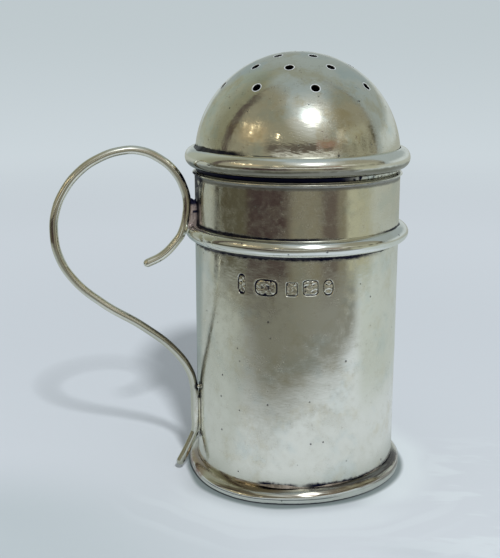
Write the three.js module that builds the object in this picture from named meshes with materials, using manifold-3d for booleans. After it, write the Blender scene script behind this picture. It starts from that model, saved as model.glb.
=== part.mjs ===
// A silver pepper shaker: a plain soldered tube with a foot wire, a girdle wire and a scrolled wire handle,
// closed by a pierced dome that pulls off.
// Millimetres. Z is up, z = 0 is the underside of the base, the tube stands on the Z axis, and the handle
// lies in the XZ plane on the -X side.
import * as THREE from "three";
import { mergeVertices } from "three/addons/utils/BufferGeometryUtils.js";
import Module from "manifold-3d";

const wasm = await Module();
wasm.setup();

// Body
const tube_outer_radius = 18.5;
const tube_wall = 0.45;
const rim_height = 56.1;
const flare_depth = 4;
const flare_spread = 0.38;
const base_thickness = 0.6;

// Foot wire, whose underside is worn flat
const foot_height = 2.7;
const foot_spread = 1.5;
const foot_flat_width = 1;
const foot_belly_height = 1.3;

// Girdle wire
const girdle_below_rim = 9.3;
const girdle_height = 2.9;
const girdle_spread = 1.75;

// Cap
const sleeve_clearance = 0.15;
const sleeve_wall = 0.4;
const sleeve_depth = 7.6;
const dome_wall = 0.5;
const dome_centre_above_rim = 2.6;
const skirt_above_rim = 0.15;
const skirt_taper = 0.15;
const cap_ring_above_rim = 0.9;
const cap_ring_height = 3.5;
const cap_ring_spread = 1.77;

// Sprinkle holes: how far each ring lies from the top, where it starts, and how far the drill wandered
const hole_diameter = 1.45;
const hole_overrun = 1;
const hole_rings = [
  { count: 1, from_top_deg: 0, start_deg: 0, wander_deg: [0] },
  { count: 5, from_top_deg: 16.4, start_deg: -148, wander_deg: [0.2, -0.9, 1.2, -0.7, 0.5] },
  { count: 8, from_top_deg: 30.4, start_deg: -159, wander_deg: [1.6, -1.1, -0.8, 0.9, -0.6, 0.4, 1.3, -0.9] },
  { count: 8, from_top_deg: 46.6, start_deg: 178, wander_deg: [0.3, 0.1, -1.6, 1.5, -0.7, 1.1, -0.4, 0.6] },
];

// Handle wire
const wire_radius = 0.75;
const handle_reach = 24.35;
const handle_rise = 15.1;
const handle_seat_bottom = 7.8;
const handle_seat_top = 14.4;
const girdle_seat_gap = 0.25;
const tail_end_height = 1.85;

// Solder that holds the handle
const solder_film = 0.03;
const solder_trim_gap = 0.06;
const web_height = 6.2;
const web_depth = 2.4;
const web_thickness = 1.3;
const web_sunk_share = 0.25;
const fillet_width = 1.9;
const fillet_depth = 0.9;
const bead_radius = 0.6;
const bead_aside = 0.55;

// Smoothness
const facets = 60;
const dome_steps = 10;
const wire_section_steps = 4;
const flare_steps = 4;
const wire_sides = 8;
const wire_steps = 76;
const hole_sides = 10;
const lump_sides = 12;
const lump_rings = 8;
const weld_distance = 0.0005;

// Sizes that follow
const tube_inner_radius = tube_outer_radius - tube_wall;
const ring_seat_radius = tube_outer_radius + solder_film;
const girdle_top = rim_height - girdle_below_rim;
const girdle_bottom = girdle_top - girdle_height;
const girdle_middle = girdle_top - girdle_height / 2;
const sleeve_outer_radius = tube_inner_radius - sleeve_clearance;
const dome_inner_radius = sleeve_outer_radius + solder_film;
const dome_outer_radius = dome_inner_radius + dome_wall;
const dome_centre_height = rim_height + dome_centre_above_rim;
const cap_ring_bottom = rim_height + cap_ring_above_rim;
const skirt_bottom = rim_height + skirt_above_rim;
const girdle_outer_radius = ring_seat_radius + girdle_spread;
const handle_seat_radius = tube_outer_radius + wire_radius + solder_film + solder_trim_gap;
const handle_seat_middle = (handle_seat_bottom + handle_seat_top) / 2;
const drill_length = dome_wall + 2 * hole_overrun;

const silver = { color: 0xb4b6a8, roughness: 0.24, metalness: 1 };
const inner_silver = { color: 0x8f8b7c, roughness: 0.4, metalness: 1 };
const solder_grey = { color: 0x8a8178, roughness: 0.45, metalness: 1 };

function named_mesh(name, geometry, finish) {
  const mesh = new THREE.Mesh(geometry, new THREE.MeshStandardMaterial(finish));
  mesh.name = name;
  return mesh;
}

// Booleans
function to_solid(geometry) {
  const bare = geometry.clone();
  bare.deleteAttribute("normal");
  bare.deleteAttribute("uv");
  const welded = mergeVertices(bare, weld_distance);
  const vertProperties = new Float32Array(welded.attributes.position.array);
  const triVerts = new Uint32Array(welded.index.array);
  return new wasm.Manifold(new wasm.Mesh({ numProp: 3, vertProperties, triVerts }));
}

function to_geometry(solid) {
  const mesh = solid.getMesh();
  const geometry = new THREE.BufferGeometry();
  geometry.setAttribute("position", new THREE.BufferAttribute(mesh.vertProperties, mesh.numProp));
  geometry.setIndex(new THREE.BufferAttribute(mesh.triVerts, 1));
  geometry.computeVertexNormals();
  return geometry;
}

// Turned pieces: a profile of radius and height, turned round the Z axis
function turned(profile) {
  const points = profile.map(([radius, height]) => new THREE.Vector2(radius, height));
  return new THREE.LatheGeometry(points, facets).rotateX(Math.PI / 2);
}

function ellipse_arc(centre, half_width, half_height, start_deg, end_deg, steps) {
  const points = [];
  for (let step = 0; step <= steps; step += 1) {
    const angle = THREE.MathUtils.degToRad(start_deg + ((end_deg - start_deg) * step) / steps);
    points.push([centre[0] + half_width * Math.cos(angle), centre[1] + half_height * Math.sin(angle)]);
  }
  return points;
}

// A closed band: its outside going up, its inside coming down
function band(outside, inside) {
  return turned([...outside, ...inside, outside[0]]);
}

function mouth_line(radius) {
  const line = [];
  for (let step = 0; step <= flare_steps; step += 1) {
    const share = step / flare_steps;
    line.push([radius + flare_spread * share ** 2, rim_height - flare_depth * (1 - share)]);
  }
  return line;
}

function body_tube() {
  const bottom = base_thickness + solder_film;
  const outside = [[tube_outer_radius, bottom], ...mouth_line(tube_outer_radius)];
  const inside = [...mouth_line(tube_inner_radius).reverse(), [tube_inner_radius, bottom]];
  return named_mesh("body_tube", band(outside, inside), silver);
}

function base_plate() {
  const profile = [[0, 0], [tube_outer_radius, 0], [tube_outer_radius, base_thickness], [0, base_thickness]];
  return named_mesh("base_plate", turned(profile), silver);
}

function foot_ring() {
  const flat_edge = ring_seat_radius + foot_flat_width;
  const belly = foot_spread - foot_flat_width;
  const half_steps = wire_section_steps / 2;
  const below = ellipse_arc([flat_edge, foot_belly_height], belly, foot_belly_height, -90, 0, half_steps);
  const crown = foot_height - foot_belly_height;
  const seat = [ring_seat_radius, foot_belly_height];
  const above = ellipse_arc(seat, foot_spread, crown, 0, 90, wire_section_steps);
  const inside = [[ring_seat_radius, 0]];
  return named_mesh("foot_ring", band([...below, ...above.slice(1)], inside), silver);
}

// Half-round wire bent round a tube, flat side in
function half_round_ring(seat_radius, bottom, height, spread) {
  const centre = [seat_radius, bottom + height / 2];
  const outside = ellipse_arc(centre, spread, height / 2, -90, 90, wire_section_steps * 2);
  return turned([...outside, outside[0]]);
}

function girdle_ring() {
  const ring = half_round_ring(ring_seat_radius, girdle_bottom, girdle_height, girdle_spread);
  return named_mesh("girdle_ring", ring, silver);
}

function cap_ring() {
  const seat_radius = dome_outer_radius + solder_film;
  const ring = half_round_ring(seat_radius, cap_ring_bottom, cap_ring_height, cap_ring_spread);
  return named_mesh("cap_ring", ring, silver);
}

function cap_sleeve() {
  const bottom = rim_height - sleeve_depth;
  const top = dome_centre_height;
  const inner_radius = sleeve_outer_radius - sleeve_wall;
  const outside = [[sleeve_outer_radius, bottom], [sleeve_outer_radius, top]];
  const inside = [[inner_radius, top], [inner_radius, bottom]];
  return named_mesh("cap_sleeve", band(outside, inside), inner_silver);
}

function dome_shell() {
  const centre = [0, dome_centre_height];
  const inner_arc = ellipse_arc(centre, dome_inner_radius, dome_inner_radius, 90, 0, dome_steps);
  const outer_arc = ellipse_arc(centre, dome_outer_radius, dome_outer_radius, 0, 90, dome_steps);
  inner_arc[0][0] = 0;
  outer_arc[dome_steps][0] = 0;
  const skirt = [
    [dome_inner_radius, skirt_bottom],
    [dome_outer_radius - skirt_taper, skirt_bottom],
    [dome_outer_radius, cap_ring_bottom],
  ];
  return turned([...inner_arc, ...skirt, ...outer_arc]);
}

function sprinkle_holes() {
  const holes = [];
  const up = new THREE.Vector3(0, 1, 0);
  for (const ring of hole_rings) {
    for (let index = 0; index < ring.count; index += 1) {
      const turn = ring.start_deg + (index * 360) / ring.count + ring.wander_deg[index];
      const azimuth = THREE.MathUtils.degToRad(turn);
      const polar = THREE.MathUtils.degToRad(ring.from_top_deg);
      const way = new THREE.Vector3(
        Math.sin(polar) * Math.cos(azimuth),
        Math.sin(polar) * Math.sin(azimuth),
        Math.cos(polar),
      );
      const hole_radius = hole_diameter / 2;
      const drill = new THREE.CylinderGeometry(hole_radius, hole_radius, drill_length, hole_sides);
      drill.applyQuaternion(new THREE.Quaternion().setFromUnitVectors(up, way));
      const place = way.clone().multiplyScalar(dome_outer_radius - dome_wall / 2);
      drill.translate(place.x, place.y, place.z + dome_centre_height);
      holes.push(drill);
    }
  }
  return holes;
}

function cap_dome() {
  let shell = to_solid(dome_shell());
  for (const drill of sprinkle_holes()) {
    shell = shell.subtract(to_solid(drill));
  }
  return named_mesh("cap_dome", to_geometry(shell), silver);
}

// Handle: the wire's line, from the tip of the upper scroll, round the loop and down to the tail.
// Heights in the loop are shares of the rise above the girdle, in the leg shares of the way from the lower
// seat to the girdle, and in the tail shares of the lower seat's height. Places outward are shares of the
// reach.
const loop_shares = [
  [0.335, -0.336], [0.228, -0.255], [0.119, -0.089],
  [0.039, 0.254], [0.037, 0.387], [0.058, 0.54], [0.117, 0.724], [0.228, 0.89], [0.372, 0.99],
  [0.51, 0.992], [0.663, 0.916], [0.803, 0.771], [0.916, 0.556], [0.984, 0.308], [1, 0.076],
];
const leg_shares = [
  [0.975, 0.905], [0.875, 0.763], [0.672, 0.613], [0.373, 0.454],
  [0.167, 0.305], [0.058, 0.168], [0.017, 0.071],
];
const tail_shares = [[0.011, 0.9], [0.039, 0.705], [0.074, 0.48]];
const girdle_point_after = 3;
const tail_end_share = 0.117;

function handle_line() {
  const at = (share, height) => new THREE.Vector3(-(handle_seat_radius + share * handle_reach), 0, height);
  const leg_height = girdle_middle - handle_seat_top;
  const loop = loop_shares.map(([out, up]) => at(out, girdle_middle + up * handle_rise));
  const girdle_contact = girdle_outer_radius + girdle_seat_gap + wire_radius;
  loop.splice(girdle_point_after, 0, new THREE.Vector3(-girdle_contact, 0, girdle_middle));
  const leg = leg_shares.map(([out, up]) => at(out, handle_seat_top + up * leg_height));
  const seat = [handle_seat_top, handle_seat_middle, handle_seat_bottom].map((height) => at(0, height));
  const tail = tail_shares.map(([out, up]) => at(out, handle_seat_bottom * up));
  const points = [...loop, ...leg, ...seat, ...tail, at(tail_end_share, tail_end_height)];
  return new THREE.CatmullRomCurve3(points, false, "centripetal");
}

function wire_solid(radius) {
  const line = handle_line();
  const corners = [];
  for (let side = 0; side < wire_sides; side += 1) {
    const angle = (side * 2 * Math.PI) / wire_sides;
    corners.push(new THREE.Vector2(radius * Math.cos(angle), radius * Math.sin(angle)));
  }
  const section = new THREE.Shape(corners);
  const settings = { extrudePath: line, steps: wire_steps, bevelEnabled: false };
  const run = new THREE.ExtrudeGeometry(section, settings);
  let wire = to_solid(run);
  for (const end of [line.getPoint(0), line.getPoint(1)]) {
    const tip = new THREE.SphereGeometry(radius, wire_sides, wire_sides / 2);
    tip.translate(end.x, end.y, end.z);
    wire = wire.add(to_solid(tip));
  }
  return wire;
}

function handle_scroll() {
  return named_mesh("handle_scroll", to_geometry(wire_solid(wire_radius)), silver);
}

// Solder fills the space between the pieces it joins: a lump, cut back from each of them
function lump(half_out, half_across, half_up, radius, height, aside = 0) {
  const ball = new THREE.SphereGeometry(1, lump_sides, lump_rings);
  ball.scale(half_out, half_across, half_up);
  ball.translate(-radius, -aside, height);
  return to_solid(ball);
}

function trimmed_solder(metal) {
  const trim_radius = tube_outer_radius + solder_trim_gap;
  const core = turned([[0, 0], [trim_radius, 0], [trim_radius, rim_height], [0, rim_height]]);
  const girdle = half_round_ring(
    ring_seat_radius,
    girdle_bottom - solder_trim_gap,
    girdle_height + 2 * solder_trim_gap,
    girdle_spread + solder_trim_gap,
  );
  const wire = wire_solid(wire_radius + solder_trim_gap);
  return metal.subtract(to_solid(core)).subtract(to_solid(girdle)).subtract(wire);
}

function upper_handle_solder() {
  const web_middle = girdle_top + web_height * (1 / 2 - web_sunk_share);
  const web = lump(web_depth / 2, web_thickness / 2, web_height / 2, handle_seat_radius, web_middle);
  return named_mesh("upper_handle_solder", to_geometry(trimmed_solder(web)), solder_grey);
}

function lower_handle_solder() {
  const half_length = (handle_seat_top - handle_seat_bottom) / 2 + fillet_width;
  const fillet = lump(fillet_depth / 2, fillet_width / 2, half_length, tube_outer_radius, handle_seat_middle);
  const bead_height = handle_seat_top + fillet_width;
  const bead = lump(bead_radius, bead_radius, bead_radius, tube_outer_radius, bead_height, bead_aside);
  return named_mesh("lower_handle_solder", to_geometry(trimmed_solder(fillet.add(bead))), solder_grey);
}

const pot = new THREE.Group();
pot.add(body_tube(), base_plate(), foot_ring(), girdle_ring());
pot.add(handle_scroll(), upper_handle_solder(), lower_handle_solder());

const cap = new THREE.Group();
cap.add(cap_dome(), cap_ring(), cap_sleeve());

const pepper_shaker = new THREE.Group();
pepper_shaker.add(pot, cap);

export default pepper_shaker;
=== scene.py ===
# A silver pepper shaker on a pale floor. Metres, Z up: the tube stands on the Z axis, and the handle lies
# in the XZ plane on the -X side.
import math

import bpy
from mathutils import Matrix, Vector, noise

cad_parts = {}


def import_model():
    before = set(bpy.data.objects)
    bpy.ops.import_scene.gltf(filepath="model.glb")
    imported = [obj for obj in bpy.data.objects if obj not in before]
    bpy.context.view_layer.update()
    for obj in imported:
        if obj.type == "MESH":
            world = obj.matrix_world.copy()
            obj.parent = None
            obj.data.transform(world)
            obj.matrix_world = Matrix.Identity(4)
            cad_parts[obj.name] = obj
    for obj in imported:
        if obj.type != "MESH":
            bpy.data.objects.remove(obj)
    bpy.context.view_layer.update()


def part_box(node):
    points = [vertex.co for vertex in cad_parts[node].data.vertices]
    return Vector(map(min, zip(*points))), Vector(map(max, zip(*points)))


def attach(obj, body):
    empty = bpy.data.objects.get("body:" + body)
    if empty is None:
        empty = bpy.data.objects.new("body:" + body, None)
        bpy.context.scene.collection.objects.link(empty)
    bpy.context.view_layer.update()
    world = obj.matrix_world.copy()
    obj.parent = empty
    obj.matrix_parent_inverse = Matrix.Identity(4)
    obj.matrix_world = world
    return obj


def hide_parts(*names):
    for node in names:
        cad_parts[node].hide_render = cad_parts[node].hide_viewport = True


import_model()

NOISE_SEED = 5
noise.seed_set(NOISE_SEED)

# Sizes that the solids give
_, (TUBE_RADIUS, _, BASE_TOP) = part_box("base_plate")
(_, _, TUBE_BOTTOM), (RIM_RADIUS, _, RIM_HEIGHT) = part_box("body_tube")
_, (FOOT_RADIUS, _, FOOT_HEIGHT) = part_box("foot_ring")
(_, _, GIRDLE_BOTTOM), (GIRDLE_RADIUS, _, GIRDLE_TOP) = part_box("girdle_ring")
(_, _, CAP_RING_BOTTOM), (CAP_RING_RADIUS, _, CAP_RING_TOP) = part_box("cap_ring")
(_, _, SKIRT_BOTTOM), (DOME_RADIUS, _, _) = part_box("cap_dome")
(_, _, SLEEVE_BOTTOM), (SLEEVE_RADIUS, _, DOME_CENTRE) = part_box("cap_sleeve")

# Sheet and wire
TUBE_WALL = 0.45e-3
FLARE_DEPTH = 0.5e-3
DOME_WALL = 0.5e-3
SKIRT_TAPER = 0.15e-3
SKIRT_CHAMFER = 0.05e-3
SKIRT_CHAMFER_RISE = 0.08e-3
SLEEVE_WALL = 0.4e-3
SLEEVE_CHAMFER = 0.1e-3
SEAT_FILM = 0.03e-3
BASE_CHAMFER = 0.12e-3
BASE_HOLLOW = 0.08e-3
BASE_HOLLOW_HALF_WAY = 0.05e-3
FOOT_FLAT = 1e-3
FOOT_BELLY = 1.3e-3
FOOT_LIFT = 0.28e-3
FOOT_SAG = 0.35e-3
FOOT_BEND = 1.05e-3
FOOT_BEND_AT = -136
FOOT_BEND_WIDTH = 27
FLAT_TURN = 3.5
FLAT_REACH = 3e-3
FLAT_DEPTH = 0.065e-3
SLIT_AT = -159
SLIT_WIDTH = 0.22e-3
SLIT_DEPTH = 0.3e-3
SEAM_SIZE = 0.42e-3
SEAM_SINK = 0.12e-3
FOOT_SEAM_SINK = 0.1e-3
WELD = 1e-6
MM = 1000

# Waves that handwork left in each surface: how far they reach, how wide they are, and how far in they are
# set. A seam's reach is a share of its size.
TUBE_WAVE = (0.05e-3, 13e-3, 0)
TUBE_DENT = (0.016e-3, 5e-3, 0)
GIRDLE_WAVE = (0.09e-3, 6e-3, 0.06e-3)
GIRDLE_RISE = (0.11e-3, 9e-3, 0)
FOOT_WAVE = (0.1e-3, 7e-3, 0.05e-3)
FOOT_RISE = (0.05e-3, 8e-3, -0.05e-3)
DOME_WAVE = (0.035e-3, 9e-3, 0.02e-3)
DOME_RISE = (0.02e-3, 7e-3, 0)
CAP_WIRE_WAVE = (0.08e-3, 8e-3, 0.04e-3)
CAP_WIRE_RISE = (0.09e-3, 10e-3, 0)
SLEEVE_WAVE = (0.03e-3, 8e-3, 0.03e-3)
SEAM_LUMPS = (0.5, 4e-3, 0)
SEAM_GRAINS = (0.25, 1.2e-3, 0)
WIRE_WANDER = 0.035e-3
WIRE_WANDER_SPAN = 7e-3

# Sprinkle holes: the distance of each ring from the top, where it starts, and how far the drill wandered
HOLE_RADIUS = 0.725e-3
HOLE_CHAMFER = 0.1e-3
HOLE_BURR = 0.03e-3
HOLE_OVERRUN = 1e-3
CROWN_DROP = 0.08e-3
HOLE_RINGS = [
    (0, 0, [0]),
    (16.4, -148, [0.2, -0.9, 1.2, -0.7, 0.5]),
    (30.4, -159, [1.6, -1.1, -0.8, 0.9, -0.6, 0.4, 1.3, -0.9]),
    (46.6, 178, [0.3, 0.1, -1.6, 1.5, -0.7, 1.1, -0.4, 0.6]),
]

# Handle
WIRE_RADIUS = 0.75e-3
HANDLE_REACH = 24.3e-3
HANDLE_RISE = 15.1e-3
SEAT_LOW = 7.8e-3
SEAT_HIGH = 15.4e-3
SEAT_GAP = 0.09e-3
GIRDLE_GAP = 0.25e-3
TAIL_HEIGHT = 1.85e-3
TAIL_SHARE = 0.117
LOOP_START_SHARES = [(0.335, -0.336), (0.228, -0.255), (0.119, -0.089)]
LOOP_SHARES = [
    (0.039, 0.254), (0.037, 0.387), (0.058, 0.54), (0.117, 0.724), (0.228, 0.89), (0.372, 0.99),
    (0.51, 0.992), (0.663, 0.916), (0.803, 0.771), (0.916, 0.556), (0.984, 0.308), (1, 0.076),
]
LEG_SHARES = [
    (0.975, 0.902), (0.875, 0.755), (0.672, 0.6), (0.373, 0.436),
    (0.155, 0.282), (0.037, 0.14), (0.004, 0.04),
]
TAIL_SHARES = [(0.011, 0.9), (0.039, 0.705), (0.074, 0.48)]

# Lumps of solder: the middle of each and its half sizes
WEB = ((-19.05e-3, 0, 48.8e-3), (0.8e-3, 0.55e-3, 2.95e-3))
WEB_TOE = ((-19.9e-3, 0, 46.9e-3), (0.8e-3, 0.55e-3, 0.65e-3))
FILLET_MIDDLE = (SEAT_HIGH + SEAT_LOW) / 2
FILLET_OVERRUN = 0.7e-3
FILLET_HALF_LENGTH = (SEAT_HIGH - SEAT_LOW) / 2 + FILLET_OVERRUN
NEAR_FILLET = ((-18.98e-3, -0.48e-3, FILLET_MIDDLE), (0.72e-3, 0.4e-3, FILLET_HALF_LENGTH))
FAR_FILLET = ((-18.72e-3, 0.42e-3, FILLET_MIDDLE), (0.34e-3, 0.4e-3, FILLET_HALF_LENGTH))
BEAD_PLACE = (-18.6e-3, -0.68e-3, 16.62e-3)
BEAD_RADIUS = 0.43e-3

# Struck marks: where each punch landed, its size, and what it left
MARK_RIM = 0.13e-3
MARK_SLOPE = 0.3e-3
MARK_LUMP = 0.62e-3
MARK_STAND = 0.09e-3
MARK_INNER_SHARE = 0.8

# Photograph's camera
EYE = Vector((-49.85e-3, -173.8e-3, 79.54e-3))
LOOK_AZIMUTH = math.radians(76.69)
LOOK_DOWN = math.radians(13.61)
TOWARD = -math.pi + LOOK_AZIMUTH
FOCAL_PIXELS = 1002.1
FRAME_HEIGHT_PIXELS = 558
SENSOR = 36
NEAR_CLIP = 1e-3

# Brightest place of the room, in degrees from the camera and above the horizon, and the lamp near it
LIGHT_TURN = 18
LIGHT_RISE = 48
LAMP_TURN = 12.5
LAMP_RISE = 42.5
LAMP_DISTANCE = 1.5
LAMP_SIZE = 0.15
LAMP_WATTS = 17.1
FLOOR_RADIUS = 2.5

# Fineness
TURN_STEPS = 320
ARC_STEPS = 72
WIRE_ARC_STEPS = 20
MARK_SIDES = 56
MARK_GRID = 34
DRILL_STEPS = 36
TUBE_ROWS = 64
MOUTH_STEPS = 8
SLEEVE_ROWS = 12
SLEEVE_STEPS = 192
BASE_STEPS = 128


# Small tools
def pointing(azimuth, rise=0):
    """Unit vector by its azimuth and its angle above the horizon."""
    return Vector((math.cos(azimuth) * math.cos(rise), math.sin(azimuth) * math.cos(rise), math.sin(rise)))


def direction(turn_deg, rise_deg):
    """Unit vector by degrees from the camera's side and degrees above the horizon."""
    return pointing(TOWARD + math.radians(turn_deg), math.radians(rise_deg))


def deselect():
    bpy.ops.object.select_all(action="DESELECT")


def fresh(add, name, **settings):
    """Adds one of Blender's own shapes under a name."""
    deselect()
    add(**settings)
    bpy.context.object.name = name
    return bpy.context.object


def take(piece):
    deselect()
    piece.hide_set(False)
    piece.select_set(True)
    bpy.context.view_layer.objects.active = piece


def settle(piece):
    """Puts the piece's place into its mesh, so that its object sits at the origin."""
    take(piece)
    bpy.ops.object.transform_apply(location=True, rotation=True, scale=True)
    return piece


def face_outwards(piece):
    take(piece)
    bpy.ops.object.mode_set(mode="EDIT")
    bpy.ops.mesh.select_all(action="SELECT")
    bpy.ops.mesh.remove_doubles(threshold=WELD)
    bpy.ops.mesh.normals_make_consistent(inside=False)
    bpy.ops.object.mode_set(mode="OBJECT")
    return piece


def extruded(piece, up, widened=(1, 1, 1)):
    """Gives a flat piece a thickness upwards, and a wider far face where asked."""
    take(piece)
    bpy.ops.object.mode_set(mode="EDIT")
    bpy.ops.mesh.select_all(action="SELECT")
    bpy.ops.mesh.extrude_region_move(TRANSFORM_OT_translate={"value": (0, 0, up)})
    bpy.ops.transform.resize(value=widened)
    bpy.ops.mesh.select_all(action="SELECT")
    bpy.ops.mesh.normals_make_consistent(inside=False)
    bpy.ops.object.mode_set(mode="OBJECT")


def joined(pieces, name):
    deselect()
    for piece in pieces:
        piece.select_set(True)
    bpy.context.view_layer.objects.active = pieces[0]
    bpy.ops.object.join()
    pieces[0].name = name
    return pieces[0]


def arc(centre, half_width, half_height, start, end, steps):
    points = []
    for step in range(steps + 1):
        angle = math.radians(start + (end - start) * step / steps)
        points.append((centre[0] + half_width * math.cos(angle), centre[1] + half_height * math.sin(angle)))
    return points


def spun(name, outline, steps=TURN_STEPS):
    """A closed outline of radius and height, turned once round the Z axis."""
    piece = fresh(bpy.ops.mesh.primitive_circle_add, name, vertices=len(outline), fill_type="NOTHING")
    for vertex, (radius, height) in zip(piece.data.vertices, outline):
        vertex.co = (radius, 0, height)
    bpy.ops.object.mode_set(mode="EDIT")
    bpy.ops.mesh.select_all(action="SELECT")
    bpy.ops.mesh.spin(steps=steps, angle=2 * math.pi, center=(0, 0, 0), axis=(0, 0, 1))
    bpy.ops.object.mode_set(mode="OBJECT")
    return face_outwards(piece)


def cut(piece, cutter):
    take(piece)
    modifier = piece.modifiers.new("cut", "BOOLEAN")
    modifier.operation = "DIFFERENCE"
    modifier.solver = "EXACT"
    modifier.object = cutter
    bpy.ops.object.modifier_apply(modifier=modifier.name)
    bpy.data.objects.remove(cutter)
    return piece


def reshape(piece, move):
    """Moves each vertex outwards and upwards by what move(azimuth, height, radius) gives."""
    for vertex in piece.data.vertices:
        x, y, z = vertex.co
        radius = math.hypot(x, y)
        if radius > WELD:
            out, up = move(math.atan2(y, x), z, radius)
            vertex.co = (x + x / radius * out, y + y / radius * out, z + up)
    piece.data.update()
    return piece


def wave(kind, azimuth, height, seed, upright=1):
    """How far a surface's wave moves it at one place of a tube."""
    reach, span, inset = kind
    round_tube = pointing(azimuth) * TUBE_RADIUS
    at = Vector((round_tube.x, round_tube.y, height * upright)) / span
    return reach * noise.noise(at + Vector((seed, seed, seed))) - inset


# Materials
class Wire:
    """One output of a node tree, so that shader maths reads as Python."""

    def __init__(self, finish, socket):
        self.finish = finish
        self.socket = socket

    def maths(self, operation, *others):
        values = dict(enumerate((self, *others)))
        return self.finish.add("ShaderNodeMath", {"operation": operation}, values)

    def __add__(self, other):
        return self.maths("ADD", other)

    __radd__ = __add__

    def __sub__(self, other):
        return self.maths("SUBTRACT", other)

    def __rsub__(self, other):
        return self.finish.add("ShaderNodeMath", {"operation": "SUBTRACT"}, {0: other, 1: self})

    def __mul__(self, other):
        return self.maths("MULTIPLY", other)

    __rmul__ = __mul__

    def __truediv__(self, other):
        return self.maths("DIVIDE", other)

    def __or__(self, other):
        """The larger of two, which joins two masks."""
        return self.maths("MAXIMUM", other)


def length(first, *others):
    """The length whose parts along the axes are given."""
    squares = first * first
    for other in others:
        squares = squares + other * other
    return squares.maths("SQRT")


class Finish:
    """A node tree being written: add() makes any node, and the rest are the few that repeat."""

    def __init__(self, tree):
        self.tree = tree
        tree.nodes.clear()

    def add(self, kind, settings=None, values=None, output=0):
        node = self.tree.nodes.new(kind)
        for key, setting in (settings or {}).items():
            setattr(node, key, setting)
        for key, value in (values or {}).items():
            if isinstance(value, Wire):
                self.tree.links.new(value.socket, node.inputs[key])
            else:
                node.inputs[key].default_value = value
        return Wire(self, node.outputs[output]) if node.outputs else node

    def parts(self, vector):
        node = self.add("ShaderNodeSeparateXYZ", values={0: vector}).socket.node
        return [Wire(self, output) for output in node.outputs]

    def joint(self, x, y, z):
        return self.add("ShaderNodeCombineXYZ", values={0: x, 1: y, 2: z})

    def ramp(self, value, low, high):
        """0 below low, 1 above high, and smooth between."""
        settings = {"interpolation_type": "SMOOTHSTEP"}
        return self.add("ShaderNodeMapRange", settings, {0: value, 1: low, 2: high, 3: 0, 4: 1})

    def fall(self, value, low, high):
        return 1 - self.ramp(value, low, high)

    def window(self, value, low, high, soft):
        """1 between low and high, fading over soft beyond each."""
        return self.ramp(value, low - soft, low) * self.fall(value, high, high + soft)

    def mix(self, factor, first, second):
        values = {0: factor, 6: first, 7: second}
        return self.add("ShaderNodeMix", {"data_type": "RGBA"}, values, output=2)

    def noise(self, vector, scale, detail=3, roughness=0.5):
        values = {"Vector": vector, "Scale": scale, "Detail": detail, "Roughness": roughness}
        return self.add("ShaderNodeTexNoise", values=values)

    def streaks(self, vector, tilt, across, along):
        """Noise drawn out into streaks that climb by tilt degrees towards +X."""
        settings = {"rotation_type": "Y_AXIS"}
        turned = self.add("ShaderNodeVectorRotate", settings, {"Vector": vector, "Angle": math.radians(tilt)})
        x, y, z = self.parts(turned)
        return self.noise(self.joint(x * along, y * along, z * across), 1.0, 1, 0.5)

    def light_path(self, kind):
        return self.add("ShaderNodeLightPath", output=kind)


class Spot:
    """Where a point of a piece is, in millimetres, with a ragged noise for the edges of stains."""

    def __init__(self, finish):
        where = finish.add("ShaderNodeTexCoord", output="Object")
        self.finish = finish
        self.place = finish.add("ShaderNodeVectorMath", {"operation": "SCALE"}, {0: where, "Scale": MM})
        self.x, self.y, self.z = finish.parts(self.place)
        self.out = length(self.x, self.y)
        self.ragged = finish.noise(self.place, 0.9, 4, 0.65) - 0.5
        self.ramp = finish.ramp
        self.fall = finish.fall

    def past(self, value, base, span):
        """0 before a span beyond a base, 1 after it: the base is in metres."""
        low, high = span
        return self.ramp(value, base * MM + low, base * MM + high)

    def short_of(self, value, base, span):
        return 1 - self.past(value, base, span)

    def facing(self, azimuth, near, far):
        """1 within near degrees of an azimuth, 0 beyond far degrees of it."""
        angle = math.radians(azimuth)
        share = (self.x * math.cos(angle) + self.y * math.sin(angle)) / self.out
        return self.ramp(share, math.cos(math.radians(far)), math.cos(math.radians(near)))

    def near_place(self, place, core, edge):
        """1 within core millimetres of a place, 0 beyond edge of it."""
        away = (wire - middle for wire, middle in zip((self.x, self.y, self.z), place))
        return self.fall(length(*away), core, edge)

    def near_height(self, height, reach, rag):
        """1 at a height in millimetres, 0 beyond a ragged reach of it."""
        away = (self.z - height).maths("ABSOLUTE") / reach + self.ragged * rag
        return self.fall(away, 0.35, 1.0)


def rgb(red, green, blue):
    return (red, green, blue, 1)


# Depths of the finest relief, and the colours of the silver
RELIEF_UNIT = 1e-6
GRAIN_DEPTH = 2e-5
CLEAN = rgb(0.9, 0.89, 0.8)
PALE_SILVER = rgb(0.88, 0.9, 0.86)
WORN = rgb(0.8, 0.79, 0.69)
COOL = rgb(0.68, 0.76, 0.74)
YELLOWED = rgb(0.7, 0.63, 0.44)
# Near black, for real oxide and for painted shade
OXIDE_AND_SHADE = rgb(0.011, 0.012, 0.04)
BROWNED = rgb(0.3, 0.22, 0.18)
STAINED = rgb(0.42, 0.27, 0.22)
SHADED = rgb(0.55, 0.5, 0.4)
DRIED = rgb(0.27, 0.225, 0.18)
TARNISHED = rgb(0.6, 0.6, 0.51)
# A painted dark reflection, for the underside of the cap's wire
UNDERSIDE_REFLECTION = rgb(0.19, 0.18, 0.135)


def new_finish(name):
    material = bpy.data.materials.new(name)
    material.use_nodes = True
    return material, Finish(material.node_tree)


def largest(masks):
    most, *others = masks
    for mask in others:
        most = most | mask
    return most


def line_at(height, reach, *sides, rag=1.3, strength=1):
    """A near-black line, which is oxide at joints, oxide with painted shadow under the girdle, painted shade
    under the rim's lip and a painted dark reflection on the foot wire: its height, its reach in millimetres,
    and the azimuths it keeps to, each with where it is full and where it has faded."""
    def mask(spot):
        kept = spot.near_height(height * MM, reach, rag) * strength
        return kept * largest(spot.facing(*side) for side in sides) if sides else kept
    return mask


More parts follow.
